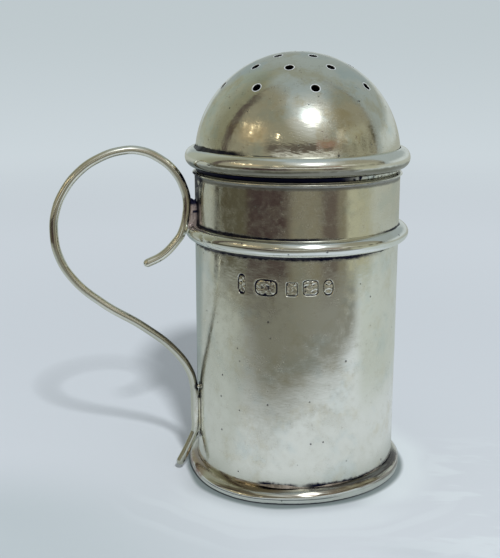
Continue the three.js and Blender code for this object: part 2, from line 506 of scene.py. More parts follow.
def skin(finish, colour, metallic, roughness, bump):
    values = {"Base Color": colour, "Metallic": metallic, "Roughness": roughness, "Normal": bump}
    shader = finish.add("ShaderNodeBsdfPrincipled", values=values)
    finish.add("ShaderNodeOutputMaterial", values={"Surface": shader})


def thin_lines(finish, value):
    """Thin lines where a noise crosses its middle: scratches, when the noise is stretched."""
    return finish.fall((value - 0.5).maths("ABSOLUTE"), 0.0, 0.03)


def silver(name, polish=0.1, tarnish=0.5, brushed=1.0, patchy=0.1, lines=(0.35, 6), clean=CLEAN,
           scuffed=2.5, stains_and_reflections=(), oxides_and_shades=()):
    """Old silver: a mottled skin, yellowed and cool in turns, duller in patches, with fine polishing lines,
    pits, and near black where each of the given places says, which is oxide at some places and painted shade
    or a painted dark reflection at others."""
    material, finish = new_finish(name)
    spot = Spot(finish)
    place, ramp, mix = spot.place, finish.ramp, finish.mix

    cloud = finish.noise(place, 0.11, 4, 0.55)
    bloom = finish.noise(place, 0.62, 5, 0.6)
    fine = finish.noise(place, 3.4, 3, 0.6)
    along, across = lines
    level = finish.joint(spot.x * along, spot.y * along, spot.z * across)
    upright = finish.joint(spot.x * 4, spot.y * 4, spot.z * 0.35)
    level_lines = finish.noise(level, 1.0, 1, 0.5)
    upright_lines = finish.noise(upright, 1.0, 1, 0.5)
    scuffs = finish.streaks(place, 9, 2.6, 0.4) + finish.streaks(place, -17, 3.1, 0.3) - 1
    waves = finish.noise(place, 0.22, 1, 0.5)
    dents = finish.noise(place, 0.9, 1, 0.5)

    mottle = ramp(cloud * 0.7 + bloom * 0.3, 0.38, 0.66)
    colour = mix(mottle * tarnish, clean, WORN)
    cool = ramp(finish.noise(place, 0.16, 5, 0.6), 0.5, 0.66)
    colour = mix(cool * (0.6 * tarnish), colour, COOL)
    yellow = ramp(finish.noise(place, 0.21, 5, 0.65), 0.52, 0.7)
    colour = mix(yellow * (0.6 * tarnish), colour, YELLOWED)
    specks = ramp(fine, 0.58, 0.7) * ramp(bloom, 0.5, 0.62)
    colour = mix(specks * (0.7 * tarnish), colour, BROWNED)

    pit_cells = {"Vector": place, "Scale": 0.45}
    cells = finish.add("ShaderNodeTexVoronoi", values=pit_cells, output="Distance")
    kept = finish.add("ShaderNodeTexVoronoi", values=pit_cells, output="Color")
    chosen = finish.parts(kept)
    pits = finish.fall(cells, 0.03 + chosen[1] * 0.04, 0.06 + chosen[1] * 0.06)
    pits = pits * ramp(chosen[0], 0.5, 0.55)
    colour = mix(pits * 0.7, colour, OXIDE_AND_SHADE)
    hairs = thin_lines(finish, level_lines) * ramp(bloom, 0.46, 0.56)
    hairs = hairs | thin_lines(finish, upright_lines) * ramp(cloud, 0.48, 0.58)

    # Colours over given places: real stains, and a painted dark reflection under the cap's wire
    for stain, shade in stains_and_reflections:
        colour = mix(stain(spot), colour, shade)
    grime_and_shade = pits * 0.4
    # Near black over each given place: oxide at some, painted shade or a painted dark reflection at others
    for darkening in oxides_and_shades:
        mask = darkening(spot)
        colour = mix(mask, colour, OXIDE_AND_SHADE)
        grime_and_shade = grime_and_shade | mask

    dull = ramp(bloom * 0.6 + cloud * 0.4, 0.42, 0.6)
    roughness = polish + dull * patchy + hairs * 0.05 + grime_and_shade * 0.35
    relief = waves * 34 + dents * 5 + level_lines * (0.8 * brushed) + upright_lines * (0.6 * brushed)
    relief = relief + scuffs * scuffed - pits * 10 - hairs * (0.8 * brushed)
    bump = finish.add("ShaderNodeBump", values={"Distance": RELIEF_UNIT, "Height": relief})
    skin(finish, colour, 1.0, roughness, bump)
    return material


def solder(name, base, stain, shade=0.6, metal=0.7, oxides_and_shades=()):
    """Solder gone dull: a grey skin with stains and soot. The pale burrs round the holes use it too, as a
    painted glint.
    """
    material, finish = new_finish(name)
    spot = Spot(finish)
    lumps = finish.noise(spot.place, 1.1, 5, 0.6)
    grain = finish.noise(spot.place, 6, 4, 0.6)
    colour = finish.mix(finish.ramp(lumps, 0.38, 0.62), base, stain)
    colour = finish.mix(finish.ramp(grain, 0.5, 0.72) * shade, colour, OXIDE_AND_SHADE)
    for darkening in oxides_and_shades:
        colour = finish.mix(darkening(spot), colour, OXIDE_AND_SHADE)
    values = {"Strength": 0.6, "Distance": GRAIN_DEPTH, "Height": grain}
    skin(finish, colour, metal, 0.25 + grain * 0.25, finish.add("ShaderNodeBump", values=values))
    return material


def seam_black(name):
    return solder(name, rgb(0.014, 0.014, 0.035), rgb(0.05, 0.045, 0.05), 0.8, 1.0)


def finished(piece, material, body, slot, *nodes, angle=40):
    settle(piece)
    bpy.ops.object.shade_smooth_by_angle(angle=math.radians(angle))
    piece.data.materials.clear()
    piece.data.materials.append(material)
    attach(piece, body)
    if nodes:
        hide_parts(*nodes)


def hung(name, data, place, turn):
    """Puts a camera or a lamp in the scene."""
    made = bpy.data.objects.new(name, data)
    bpy.context.scene.collection.objects.link(made)
    made.location = place
    made.rotation_mode = "QUATERNION"
    made.rotation_quaternion = turn
    return made


# Photograph's view
def camera():
    data = bpy.data.cameras.new("camera")
    data.sensor_width = SENSOR
    data.lens = FOCAL_PIXELS * SENSOR / FRAME_HEIGHT_PIXELS
    data.clip_start = NEAR_CLIP
    way = pointing(LOOK_AZIMUTH, -LOOK_DOWN)
    bpy.context.scene.camera = hung("camera", data, EYE, way.to_track_quat("-Z", "Y"))


# Tube
def mouth_line(radius):
    flare = RIM_RADIUS - TUBE_RADIUS
    top = RIM_HEIGHT - TUBE_WALL / 2
    shares = [step / MOUTH_STEPS for step in range(MOUTH_STEPS + 1)]
    return [(radius + flare * share ** 2, top - FLARE_DEPTH * (1 - share)) for share in shares]


def tube_outline():
    straight = RIM_HEIGHT - FLARE_DEPTH - TUBE_WALL / 2 - TUBE_BOTTOM
    heights = [TUBE_BOTTOM + straight * row / TUBE_ROWS for row in range(TUBE_ROWS)]
    outer = [(TUBE_RADIUS, height) for height in heights] + mouth_line(TUBE_RADIUS)
    lip_centre = (RIM_RADIUS - TUBE_WALL / 2, RIM_HEIGHT - TUBE_WALL / 2)
    lip = arc(lip_centre, TUBE_WALL / 2, TUBE_WALL / 2, 0, 180, MOUTH_STEPS)
    inner_radius = TUBE_RADIUS - TUBE_WALL
    inner = [(inner_radius, height) for height in heights[::4]] + mouth_line(inner_radius)
    return outer + lip[1:-1] + inner[::-1]


def tube():
    piece = spun("silver_tube", tube_outline())

    def worked(azimuth, height, radius):
        return wave(TUBE_WAVE, azimuth, height, 3.1) + wave(TUBE_DENT, azimuth, height, 7.7, 0.6), 0

    reshape(piece, worked)
    return cut(piece, mark_cutters())


# Struck marks: for each plain cartouche its azimuth, the height of its middle, its width and height, how
# deep its punch went, and how square its corners are
MARKS = [
    (-135.8, 38.75e-3, 1.7e-3, 3.7e-3, 0.19e-3, 2.6),
    (-121.8, 38.5e-3, 4.35e-3, 3.05e-3, 0.18e-3, 3.2),
    (-108.0, 38.45e-3, 2.2e-3, 2.6e-3, 0.13e-3, 7),
    (-98.3, 38.7e-3, 2.95e-3, 2.85e-3, 0.12e-3, 5),
    (-88.8, 38.65e-3, 1.95e-3, 2.9e-3, 0.15e-3, 2.4),
]


def stood_on_tube(piece, azimuth_deg, height):
    """Moves what was made lying flat at the origin to its place on the tube, facing out."""
    out = pointing(math.radians(azimuth_deg))
    spot = out * TUBE_RADIUS + Vector((0, 0, height))
    piece.matrix_world = Matrix.Translation(spot) @ out.to_track_quat("Z", "Y").to_matrix().to_4x4()
    return settle(piece)


def cartouche(width, height, corners, fill):
    """The outline of a punch, from a circle: an oval at 2 and nearly a rectangle at 7."""
    piece = fresh(bpy.ops.mesh.primitive_circle_add, "cartouche", vertices=MARK_SIDES, fill_type=fill)
    for index, vertex in enumerate(piece.data.vertices):
        angle = 2 * math.pi * (index + 0.5) / MARK_SIDES
        across = math.copysign(abs(math.cos(angle)) ** (2 / corners), math.cos(angle))
        up = math.copysign(abs(math.sin(angle)) ** (2 / corners), math.sin(angle))
        vertex.co = (across * width / 2, up * height / 2, 0)
    return piece


def mark_cutters():
    """The punches: each narrows to its face, so the walls of what it struck slope."""
    cutters = []
    for azimuth, at_height, width, height, depth, corners in MARKS:
        punch = cartouche(width - MARK_SLOPE, height - MARK_SLOPE, corners, "NGON")
        punch.location.z = -depth
        settle(punch)
        wider, taller = ((size + MARK_SLOPE * 2) / (size - MARK_SLOPE) for size in (width, height))
        extruded(punch, depth * 3, (wider, taller, 1))
        cutters.append(stood_on_tube(punch, azimuth, at_height))
    return joined(cutters, "mark_cutters")


def mark_rims():
    """The thin lip of silver that each punch pushed up round itself."""
    rims = []
    for azimuth, at_height, width, height, _, corners in MARKS:
        rim = cartouche(width + MARK_RIM, height + MARK_RIM, corners, "NOTHING")
        take(rim)
        bpy.ops.object.convert(target="CURVE")
        rim.data.bevel_depth = MARK_RIM / 2
        rim.data.bevel_resolution = 2
        bpy.ops.object.convert(target="MESH")
        for vertex in rim.data.vertices:
            sag = TUBE_RADIUS - math.sqrt(TUBE_RADIUS ** 2 - vertex.co.x ** 2)
            vertex.co.z = vertex.co.z * 0.6 - sag - MARK_RIM * 0.2
        rims.append(stood_on_tube(rim, azimuth, at_height))
    return joined(rims, "struck_mark_rims")


def mark_relief():
    """What each punch left standing inside: worn lumps with no device."""
    patches = []
    for index, (azimuth, at_height, width, height, depth, corners) in enumerate(MARKS):
        grid = {"x_subdivisions": MARK_GRID, "y_subdivisions": MARK_GRID, "size": 1}
        patch = fresh(bpy.ops.mesh.primitive_grid_add, "patch", **grid)
        for vertex in patch.data.vertices:
            x, y = vertex.co.x, vertex.co.y
            inside = 1 - abs(2 * x) ** corners - abs(2 * y) ** corners
            at = Vector((x * width, y * height, 0)) / MARK_LUMP
            at += Vector((index * 9.3 + 0.4, index * 2.7, 1.7))
            lump = 0.6 + 1.3 * noise.noise(at) + 0.3 * noise.noise(at * 2.3)
            raised = max(0, min(1, lump)) * max(0, min(1, inside * 3))
            low = -depth - WELD + raised * MARK_STAND
            vertex.co = (x * width * MARK_INNER_SHARE, y * height * MARK_INNER_SHARE, low)
        extruded(patch, -MARK_STAND / 2)
        patches.append(stood_on_tube(patch, azimuth, at_height))
    return joined(patches, "struck_mark_relief")


# Wires and discs of the pot
def half_round(seat, bottom, top, spread):
    return arc((seat, (bottom + top) / 2), spread, (top - bottom) / 2, -90, 90, WIRE_ARC_STEPS)


def girdle_wire():
    seat = TUBE_RADIUS + SEAT_FILM
    piece = spun("girdle_wire", half_round(seat, GIRDLE_BOTTOM, GIRDLE_TOP, GIRDLE_RADIUS - seat))
    joint_at = math.radians(SLIT_AT)
    middle = (GIRDLE_BOTTOM + GIRDLE_TOP) / 2

    def worked(azimuth, height, radius):
        proud = (radius - seat) / (GIRDLE_RADIUS - seat)
        out = wave(GIRDLE_WAVE, azimuth, 0, 1.3) * proud
        up = wave(GIRDLE_RISE, azimuth, 0, 5.5) * proud
        turn = math.atan2(math.sin(azimuth - joint_at), math.cos(azimuth - joint_at)) * TUBE_RADIUS
        slit = math.exp(-(((turn + (height - middle) * 0.9) / SLIT_WIDTH) ** 2))
        return out - SLIT_DEPTH * slit * proud, up

    reshape(piece, worked)
    return rubbed_flat(piece, GIRDLE_RADIUS, GIRDLE_TOP)


def foot_wire():
    seat = TUBE_RADIUS + SEAT_FILM
    spread = FOOT_RADIUS - seat
    below = arc((seat + FOOT_FLAT, FOOT_BELLY), spread - FOOT_FLAT, FOOT_BELLY, -90, 0, WIRE_ARC_STEPS // 2)
    above = arc((seat, FOOT_BELLY), spread, FOOT_HEIGHT - FOOT_BELLY, 0, 90, WIRE_ARC_STEPS)
    piece = spun("foot_wire", below + above[1:] + [(seat, 0)])
    lifted_side = math.radians(-45)
    sagged_side = math.radians(-135)

    def worked(azimuth, height, radius):
        proud = (radius - seat) / spread
        out = wave(FOOT_WAVE, azimuth, 0, 9.1) * proud
        off = (math.degrees(azimuth) - FOOT_BEND_AT + 180) % 360 - 180
        out += FOOT_BEND * math.exp(-((off / FOOT_BEND_WIDTH) ** 2)) * proud
        lift = FOOT_LIFT * max(0, math.cos(azimuth - lifted_side)) ** 2
        sag = FOOT_SAG * (height / FOOT_HEIGHT) * max(0, math.cos(azimuth - sagged_side)) ** 2
        up = wave(FOOT_RISE, azimuth, 0, 2.2) * (height / FOOT_HEIGHT - 0.5)
        return out, max(lift - sag + up, -height)

    reshape(piece, worked)
    return rubbed_flat(piece, FOOT_RADIUS, FOOT_HEIGHT)


def rubbed_flat(piece, radius, height):
    """A small flat that years of rubbing left on a wire, where it catches the light of the photograph."""
    way = direction(LIGHT_TURN, LIGHT_RISE)
    place = direction(FLAT_TURN, 0) * radius + Vector((0, 0, height))
    facing = ((EYE - place).normalized() + way).normalized()
    near = [vertex for vertex in piece.data.vertices if (vertex.co - place).length < FLAT_REACH]
    limit = max(vertex.co.dot(facing) for vertex in near) - FLAT_DEPTH
    for vertex in near:
        vertex.co -= facing * max(0, vertex.co.dot(facing) - limit)
    return piece


def base_disc():
    outline = [(0, BASE_HOLLOW), (TUBE_RADIUS * 0.5, BASE_HOLLOW_HALF_WAY), (TUBE_RADIUS * 0.93, 0)]
    outline += [(TUBE_RADIUS - BASE_CHAMFER, 0), (TUBE_RADIUS, BASE_CHAMFER)]
    outline += [(TUBE_RADIUS, BASE_TOP), (0, BASE_TOP)]
    return spun("base_disc", outline, BASE_STEPS)


def seam(name, wall_radius, height, way, seed, base, patches):
    """A thin line of old solder and polish lodged in the corner between a wall and a wire: it climbs where
    way is 1 and hangs where it is -1. A patch, where it is heavier, is an azimuth, a width in degrees and a
    weight. The wide black line that hangs under the girdle is also painted shadow under the wire."""
    outline = [(wall_radius, height), (wall_radius + SEAM_SIZE, height)]
    piece = spun(name, outline + [(wall_radius, height + way * SEAM_SIZE)])

    def worked(azimuth, at_height, radius):
        grown = base + wave(SEAM_LUMPS, azimuth, 0, seed) + wave(SEAM_GRAINS, azimuth, 0, seed + 4)
        for centre, width, weight in patches:
            turn = (math.degrees(azimuth) - centre + 180) % 360 - 180
            grown += weight * math.exp(-((turn / width) ** 2))
        grown = max(0.04, grown)
        out = (radius - wall_radius) * (grown - 1)
        return out, (at_height - height) * (grown - 1)

    return reshape(piece, worked)


# Handle
def handle_points():
    seat = TUBE_RADIUS + WIRE_RADIUS + SEAT_GAP
    middle = (GIRDLE_BOTTOM + GIRDLE_TOP) / 2

    def at(share, height):
        return Vector((-(seat + share * HANDLE_REACH), 0, height))

    points = [at(out, middle + up * HANDLE_RISE) for out, up in LOOP_START_SHARES]
    points.append(Vector((-(GIRDLE_RADIUS + GIRDLE_GAP + WIRE_RADIUS), 0, middle)))
    points += [at(out, middle + up * HANDLE_RISE) for out, up in LOOP_SHARES]
    points += [at(out, SEAT_HIGH + up * (middle - SEAT_HIGH)) for out, up in LEG_SHARES]
    points += [at(0, height) for height in (SEAT_HIGH, (SEAT_HIGH + SEAT_LOW) / 2, SEAT_LOW)]
    points += [at(out, SEAT_LOW * up) for out, up in TAIL_SHARES]
    points.append(at(TAIL_SHARE, TAIL_HEIGHT))
    return points


def rounded_tip(end, inner):
    """Points that carry the wire past its end to a dome, with the wire's share of its radius at each."""
    way = (end - inner).normalized()
    tip = []
    for angle in (30, 55, 75, 88):
        turn = math.radians(angle)
        tip.append((end + way * WIRE_RADIUS * math.sin(turn), math.cos(turn)))
    return tip


def handle_wire():
    points = handle_points()
    knots = rounded_tip(points[0], points[1])[::-1] + [(point, 1) for point in points]
    knots += rounded_tip(points[-1], points[-2])
    line = fresh(bpy.ops.curve.primitive_bezier_curve_add, "handle_wire")
    line.matrix_world = Matrix.Identity(4)
    data = line.data
    data.dimensions = "3D"
    data.bevel_depth = WIRE_RADIUS
    data.bevel_resolution = 10
    data.resolution_u = 12
    data.use_fill_caps = True
    spline = data.splines[0]
    spline.radius_interpolation = "LINEAR"
    spline.bezier_points.add(len(knots) - 2)
    for knot, (point, share) in zip(spline.bezier_points, knots):
        knot.handle_left_type = "AUTO"
        knot.handle_right_type = "AUTO"
        knot.co = point
        knot.radius = share
    bpy.ops.object.convert(target="MESH")
    piece = bpy.context.object
    face_outwards(piece)
    for vertex in piece.data.vertices:
        push = noise.noise_vector(vertex.co / WIRE_WANDER_SPAN) * WIRE_WANDER
        vertex.co += Vector((push.x, push.y * 0.5, push.z))
    return piece


def lump(name, sizes, wobble, seed):
    """A blob of solder: a ball stretched to its half sizes and left uneven."""
    centre, half = sizes
    blob = fresh(bpy.ops.mesh.primitive_uv_sphere_add, name, segments=40, ring_count=24, radius=1)
    for vertex in blob.data.vertices:
        spread = 1 + wobble * noise.noise(vertex.co * 1.6 + Vector((seed, 0, 0)))
        vertex.co = [centre[axis] + vertex.co[axis] * half[axis] * spread for axis in range(3)]
    return blob


def solder_web():
    return joined([lump("web", WEB, 0.35, 2), lump("toe", WEB_TOE, 0.4, 5)], "solder_web")


def solder_fillets():
    return joined([lump("near", NEAR_FILLET, 0.15, 1), lump("far", FAR_FILLET, 0.3, 8)], "solder_fillets")


def solder_bead():
    return lump("solder_bead", (BEAD_PLACE, [BEAD_RADIUS] * 3), 0.08, 3)


# Cap
def dome_outline():
    centre = (0, DOME_CENTRE)
    inner_radius = DOME_RADIUS - DOME_WALL
    inner = arc(centre, inner_radius, inner_radius, 90, 0, ARC_STEPS)
    outer = arc(centre, DOME_RADIUS, DOME_RADIUS, 0, 90, ARC_STEPS)
    inner[0] = (0, inner[0][1])
    outer[-1] = (0, outer[-1][1])
    skirt = [
        (inner_radius, SKIRT_BOTTOM),
        (DOME_RADIUS - SKIRT_TAPER - SKIRT_CHAMFER, SKIRT_BOTTOM),
        (DOME_RADIUS - SKIRT_TAPER, SKIRT_BOTTOM + SKIRT_CHAMFER_RISE),
        (DOME_RADIUS, CAP_RING_BOTTOM),
    ]
    return inner + skirt + outer


def hole_places():
    places = []
    for from_top, start, wander in HOLE_RINGS:
        for index, drift in enumerate(wander):
            azimuth = math.radians(start + index * 360 / len(wander) + drift)
            polar = math.radians(from_top)
            out = pointing(azimuth) * math.sin(polar) + Vector((0, 0, math.cos(polar)))
            turn = out.to_track_quat("Z", "Y").to_matrix().to_4x4()
            spot = out * DOME_RADIUS + Vector((0, 0, DOME_CENTRE - CROWN_DROP))
            places.append(Matrix.Translation(spot) @ turn)
    return places


def copies(model, places, name):
    made = []
    for place in places:
        one = model.copy()
        one.data = model.data.copy()
        bpy.context.scene.collection.objects.link(one)
        one.matrix_world = place
        made.append(settle(one))
    bpy.data.objects.remove(model)
    return joined(made, name)


def drills():
    deep = DOME_WALL + HOLE_OVERRUN
    wide = HOLE_RADIUS + HOLE_CHAMFER
    outline = [(0, -deep), (HOLE_RADIUS, -deep), (HOLE_RADIUS, -HOLE_CHAMFER)]
    outline += [(wide, 0), (wide + HOLE_CHAMFER, HOLE_OVERRUN), (0, HOLE_OVERRUN)]
    return copies(spun("drill", outline, DRILL_STEPS), hole_places(), "drills")


def hole_burrs():
    """The thin lip that the drill raised round each hole."""
    middle = HOLE_RADIUS + HOLE_CHAMFER
    outline = arc((middle, -HOLE_BURR / 2), HOLE_BURR * 2.2, HOLE_BURR, 0, 330, 11)
    return copies(spun("burr", outline, DRILL_STEPS), hole_places(), "hole_burrs")


def dome():
    piece = spun("pierced_dome", dome_outline())

    def worked(azimuth, height, radius):
        share = min(1, radius / DOME_RADIUS)
        out = wave(DOME_WAVE, azimuth, height, 11.4) * share
        up = wave(DOME_RISE, azimuth, height, 4.2) - CROWN_DROP
        return out, up if height > CAP_RING_TOP else 0

    reshape(piece, worked)
    return cut(piece, drills())


def cap_wire():
    seat = DOME_RADIUS + SEAT_FILM
    piece = spun("cap_wire", half_round(seat, CAP_RING_BOTTOM, CAP_RING_TOP, CAP_RING_RADIUS - seat))

    def worked(azimuth, height, radius):
        proud = (radius - seat) / (CAP_RING_RADIUS - seat)
        return wave(CAP_WIRE_WAVE, azimuth, 0, 21.3) * proud, wave(CAP_WIRE_RISE, azimuth, 0, 15.5) * proud

    return reshape(piece, worked)


def sleeve():
    inner = SLEEVE_RADIUS - SLEEVE_WALL
    start = SLEEVE_BOTTOM + SLEEVE_CHAMFER
    heights = [start + (DOME_CENTRE - start) * row / SLEEVE_ROWS for row in range(SLEEVE_ROWS + 1)]
    outline = [(inner, DOME_CENTRE), (inner, start), (inner + SLEEVE_CHAMFER, SLEEVE_BOTTOM)]
    outline += [(SLEEVE_RADIUS - SLEEVE_CHAMFER, SLEEVE_BOTTOM)]
    outline += [(SLEEVE_RADIUS, height) for height in heights]
    piece = spun("cap_sleeve_tube", outline, SLEEVE_STEPS)
    return reshape(piece, lambda azimuth, height, radius: (wave(SLEEVE_WAVE, azimuth, height, 31.0), 0))


# Stage: azimuths of the room are degrees from the camera, as the shaker sees it
PALE = rgb(0.605, 0.652, 0.708)
FAR_PALE = rgb(0.68, 0.73, 0.79)
SHADED_PALE = rgb(0.5, 0.56, 0.6)
THROWN = rgb(0.71, 0.78, 0.825)
# Painted contact shadow on the paper round the foot
CONTACT_SHADOW_COLOUR = rgb(0.15, 0.19, 0.19)
DAYLIGHT = rgb(0.49, 0.506, 0.502)
SEEN_LOW = rgb(0.615, 0.68, 0.72)
SEEN_HIGH = rgb(0.52, 0.585, 0.61)
BACKDROP = rgb(0.41, 0.43, 0.385)
WALL = rgb(0.33, 0.375, 0.375)
WALL_FOOT = rgb(0.56, 0.61, 0.61)
WILLOW = rgb(0.36, 0.385, 0.32)
MOSS = rgb(0.235, 0.235, 0.165)
CEILING = rgb(0.34, 0.395, 0.415)
OLIVE = rgb(0.082, 0.075, 0.05)
PLUM = rgb(0.05, 0.035, 0.033)
SOOT = rgb(0.04, 0.035, 0.028)
KHAKI = rgb(0.17, 0.158, 0.118)
UMBER = rgb(0.095, 0.078, 0.066)
SAND = rgb(0.272, 0.26, 0.195)
AMBER = rgb(0.46, 0.37, 0.23)
ROSE = rgb(0.32, 0.23, 0.19)
SILL = rgb(0.64, 0.65, 0.6)
CREAM = rgb(0.58, 0.57, 0.5)
STRAW = rgb(0.37, 0.37, 0.28)
GLOW = rgb(0.6, 0.62, 0.61)
LIGHT = rgb(3.0, 3.1, 3.15)
GLINT = rgb(4.2, 3.5, 2.3)
GLINTS = [(-54, 34, 1.5), (-61, 31, 1.7), (-73, 31, 1.2), (-25, 26, 1.7), (-60, 25, 1.2)]
# The paper as the silver sees it: the darker colours are painted shade on the left, behind the handle and
# right at the foot
SHADED_LEFT_FLOOR = rgb(0.385, 0.42, 0.405)
SHADED_FLOOR = rgb(0.2, 0.26, 0.275)
MID_FLOOR = rgb(0.175, 0.175, 0.148)
SHADED_CLOSE_FLOOR = rgb(0.4, 0.44, 0.45)
RIGHT_FLOOR = rgb(0.49, 0.535, 0.53)

# Patches of the room: azimuths from and to and how softly they fade, the same of the heights in degrees,
# how strong each is, and its colour
ROOM = [
    (108, 181, 8, -40, 9, 8, 0.9, WALL_FOOT),
    (-181, -162, 10, -40, 7, 8, 0.9, WALL_FOOT),
    (-148, -60, 12, -40, 60, 12, 0.9, WILLOW),
]
ROOM_IN_FRONT = [
    (-70, -44, 8, 20, 31, 6, 0.8, AMBER),
    (-34, 36, 8, 12, 17, 4, 0.9, UMBER),
    (22, 42, 5, 15, 20, 2.5, 0.95, ROSE),
    (-24, 38, 10, 3.5, 8, 3, 0.95, SILL),
    (46, 57, 3, 19, 28, 3, 0.95, CREAM),
    (61, 84, 6, 6, 25, 6, 0.8, STRAW),
    (50, 53, 1.5, 9, 18, 3, 0.7, OLIVE),
    (62, 65, 1.5, 5, 14, 3, 0.7, OLIVE),
    (75, 79, 1.5, 7, 16, 3, 0.8, OLIVE),
    (85, 87, 1.2, 5, 12, 3, 0.8, OLIVE),
    (92, 97, 1.5, 11, 22, 3, 0.9, OLIVE),
]

# What stands round the shaker at its own height: the azimuths over which each colour takes over
LOW_ROOM = [
    (-105, -102, SOOT), (-99, -95, OLIVE), (-59, -54, PLUM), (-17, -4, KHAKI),
    (23, 27, UMBER), (40, 45, KHAKI), (50, 56, STRAW), (78, 90, BACKDROP),
]

# Azimuths over which the left side of the room ends
LEFT_END = (-70, -40)

# Floor as the silver sees it: the distances from the axis over which each change comes in
LEFT_DIMS = (0.035, 0.08)
DIM_START = 0.04
DIM_LATER = 0.024
DIM_LAST = 0.035
DIM_WIDTH = 0.04
SIDE_CHANGE = (0.06, 0.15)
RIGHT_CHANGE = (0.045, 0.08)
SHADE_START = (0.03, 0.06)
CLOSE_END = (0.021, 0.032)
BEYOND_START = (0.165, 0.2)
FAR_END = (0.21, 0.3)

# Floor as the camera sees it
FAR_CHANGE = (0.08, 0.26)
FADE = (0.2, 0.55)
CORNER_SIDE = (0.022, 0.07)
CORNER_FRONT = (-0.005, 0.025)
FOLDS_FRONT = (0.02, 0.05)
FOLDS_END = (0.1, 0.22)
RINGS = (0.025, 0.034, 0.006)
RING = (0.0238, 0.0285, 0.0025)
RING_WANDER = 0.003
RIGHT_RING = (0.0225, 0.0285)
RIGHT_RING_WANDER = 0.008
BANDS_SIDE = (0.0, 0.03)
BANDS_FRONT = (-0.02, 0.01)
BANDS_END = (0.09, 0.2)
# Where the painted contact shadow round the foot ends, beyond the foot's radius
CONTACT_SHADOW_START = 0.0002
CONTACT_SHADOW_END = 0.0013
SOFT_SHADOW_END = 0.0045


def from_camera(x, y):
    """How far a place lies towards the camera and to its side, and its azimuth in degrees from the camera."""
    toward = x * math.cos(TOWARD) + y * math.sin(TOWARD)
    side = y * math.cos(TOWARD) - x * math.sin(TOWARD)
    return toward, side, side.maths("ARCTAN2", toward) * math.degrees(1)


def low_room(finish, turn):
    colour = BACKDROP
    for start, end, following in LOW_ROOM:
        colour = finish.mix(finish.ramp(turn, start, end), colour, following)
    return colour


def patched(finish, colour, patches, turn, rise):
    for low, high, soft, bottom, top, fade, strength, patch in patches:
        inside = finish.window(turn, low, high, soft) * finish.window(rise, bottom, top, fade)
        colour = finish.mix(inside * strength, colour, patch)
    return colour


def high_room(finish, turn, rise, front):
    """Above the horizon: a pale tent behind the shaker, and the dim room that its open side lets in. Front
    grows from the tent's edge towards the camera."""
    ramp, fall, window, mix = finish.ramp, finish.fall, finish.window, finish.mix
    left = fall(turn, *LEFT_END)
    tent = patched(finish, WALL, ROOM, turn, rise)
    tent = mix(ramp(front, -0.6, -0.12) * left * fall(rise, 58, 74), tent, MOSS)
    raised = 12 * window(turn, -95, -35, 10)
    room = mix(ramp(rise - raised, 54, 72), SAND, CEILING)
    across = (turn - LIGHT_TURN) * (rise * math.radians(1)).maths("COSINE")
    off = length(across, rise - LIGHT_RISE)
    room = mix(fall(off, 9, 34), room, GLOW)
    room = patched(finish, room, ROOM_IN_FRONT, turn, rise)
    room = mix(fall(off, 1, 14.5), room, LIGHT)
    post = window(front, 0.0, 0.15, 0.025) * fall(rise, 52, 64) * left
    room = mix(post, room, UMBER)
    edge = window(front, 0.0, 0.03, 0.02) * fall(rise, 66, 76)
    room = mix(edge * 0.45, room, UMBER)
    for at_turn, at_rise, size in GLINTS:
        across = (turn - at_turn) * math.cos(math.radians(at_rise)) / size
        up = (rise - at_rise) / (size * 1.4)
        room = mix(fall(length(across, up), 0.5, 1), room, GLINT)
    return mix(ramp(front, -0.015, 0.015), tent, room)


def world():
    """Plain light for the floor, a pale backdrop for the camera, and a room for the silver to mirror."""
    made = bpy.data.worlds.new("studio")
    bpy.context.scene.world = made
    made.cycles.sampling_method = "NONE"
    made.use_nodes = True
    finish = Finish(made.node_tree)
    x, y, z = finish.parts(finish.add("ShaderNodeTexCoord", output="Generated"))
    toward, side, turn = from_camera(x, y)
    rise = z.maths("ARCSINE") * math.degrees(1)
    left = finish.fall(turn, *LEFT_END)
    front = toward + side * 0.09 + z * 0.15 + left * (0.2 - z * 0.24)
    high = high_room(finish, turn, rise, front)
    room = finish.mix(finish.ramp(rise, -0.5, 2.5), low_room(finish, turn), high)
    seen = finish.mix(finish.ramp(rise, -9, 2), SEEN_LOW, SEEN_HIGH)
    colour = finish.mix(finish.light_path("Is Glossy Ray"), DAYLIGHT, room)
    colour = finish.mix(finish.light_path("Is Camera Ray"), colour, seen)
    shader = finish.add("ShaderNodeBackground", values={"Color": colour, "Strength": 1.0})
    finish.add("ShaderNodeOutputWorld", values={"Surface": shader})


